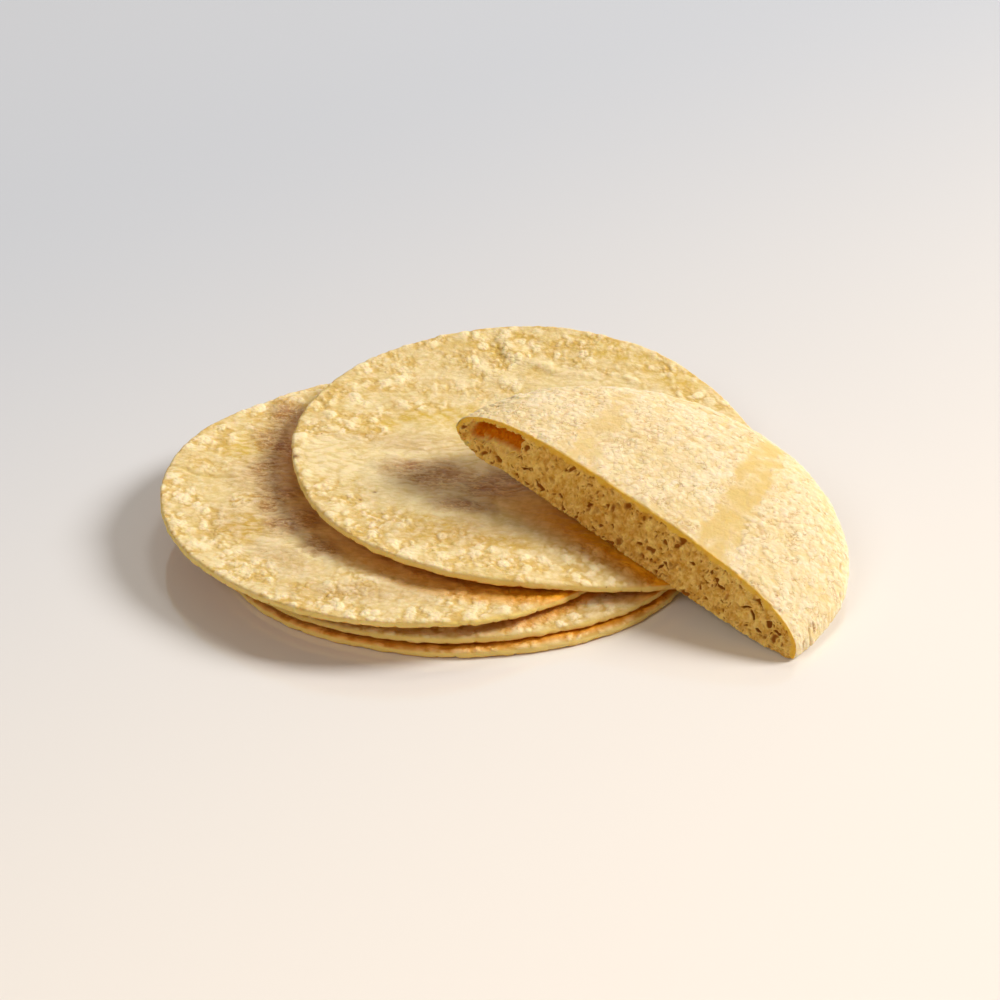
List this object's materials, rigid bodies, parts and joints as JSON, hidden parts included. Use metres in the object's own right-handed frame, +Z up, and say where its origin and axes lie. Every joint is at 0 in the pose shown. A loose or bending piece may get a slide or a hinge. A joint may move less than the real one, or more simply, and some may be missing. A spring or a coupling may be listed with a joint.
{
  "type": "corn tortilla stack",
  "caption": "Stack of soft corn tortillas with half of a thick, spongy corn flatbread leaning on it.",
  "frame": {"origin": "middle of the bottom tortilla's underside, on the surface that the stack lies on", "axes": "+Z up, +X from the stack towards the leaning flatbread, -Y towards the side that its cut face looks at"},
  "size_m": [0.2007, 0.1661, 0.0371],
  "materials": {
    "tortilla": "satin",
    "flatbread": "matte"
  },
  "bodies": {
    "root": {"tortilla_1": "tortilla", "tortilla_2": "tortilla", "tortilla_3": "tortilla", "tortilla_4": "tortilla", "flatbread_half": "flatbread"}
  },
  "joints": []
}
